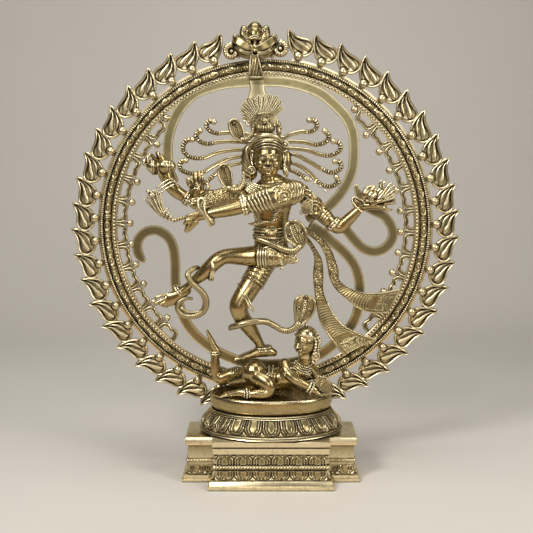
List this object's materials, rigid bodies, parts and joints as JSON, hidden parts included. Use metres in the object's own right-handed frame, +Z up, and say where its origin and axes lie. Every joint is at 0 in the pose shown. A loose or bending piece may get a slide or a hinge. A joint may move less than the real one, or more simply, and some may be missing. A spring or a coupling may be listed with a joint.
{
  "type": "nataraja statue",
  "caption": "Brass statue of a dancing four-armed figure on a reclining dwarf, inside a round flaming arch on an oval lotus pedestal and stepped plinth.",
  "frame": {"origin": "on the resting plane, under the middle of the whole statue's bounding box", "axes": "+Z up, -Y towards the front, +X to the viewer's right"},
  "size_m": [0.4638, 0.114, 0.53],
  "materials": {
    "polished_brass": "polished high spots with brown patina in the hollows",
    "aged_brass": "cast detail with near-black patina in the recesses and rubbed bright edges",
    "satin_brass": "plain brushed olive gold"
  },
  "bodies": {
    "root": {"abhaya_arm": "polished_brass", "ankle_serpent": "aged_brass", "arcade_left": "aged_brass", "arcade_right": "aged_brass", "arch_stay": "satin_brass", "arm_cobra": "aged_brass", "band_lower": "satin_brass", "band_tail": "satin_brass", "band_upper": "satin_brass", "crest_bridge": "satin_brass", "crest_fan": "aged_brass", "crossing_arm": "polished_brass", "crown": "aged_brass", "crown_cobra": "aged_brass", "drum": "polished_brass", "drum_arm": "polished_brass", "dwarf_body": "polished_brass", "dwarf_head": "polished_brass", "dwarf_lifted_leg": "polished_brass", "dwarf_shield": "aged_brass", "fixing_bolt_left": "satin_brass", "fixing_bolt_right": "satin_brass", "flame_arm": "polished_brass", "flame_strip_left_lower": "aged_brass", "flame_strip_left_upper": "aged_brass", "flame_strip_right_lower": "aged_brass", "flame_strip_right_upper": "aged_brass", "hair_lock_left_1": "aged_brass", "hair_lock_left_2": "aged_brass", "hair_lock_left_3": "aged_brass", "hair_lock_left_4": "aged_brass", "hair_lock_left_5": "aged_brass", "hair_lock_right_1": "aged_brass", "hair_lock_right_2": "aged_brass", "hair_lock_right_3": "aged_brass", "hair_lock_right_4": "aged_brass", "hair_lock_right_5": "aged_brass", "hair_lock_right_6": "aged_brass", "head": "polished_brass", "hip_cloth": "aged_brass", "inner_bead_wire": "aged_brass", "leg_cobra": "aged_brass", "lion_mask": "aged_brass", "lotus_pedestal": "aged_brass", "mask_curl_left": "aged_brass", "mask_curl_right": "aged_brass", "mask_pendant": "aged_brass", "outer_bead_wire": "aged_brass", "oval_platform": "polished_brass", "palm_flame": "polished_brass", "plinth": "aged_brass", "raised_leg": "polished_brass", "ring_rail": "aged_brass", "sash_lower": "aged_brass", "sash_upper": "aged_brass", "standing_leg": "polished_brass", "torso": "polished_brass", "waist_cobra": "aged_brass", "whisk_snake": "aged_brass", "wrist_serpent": "aged_brass"}
  },
  "joints": []
}
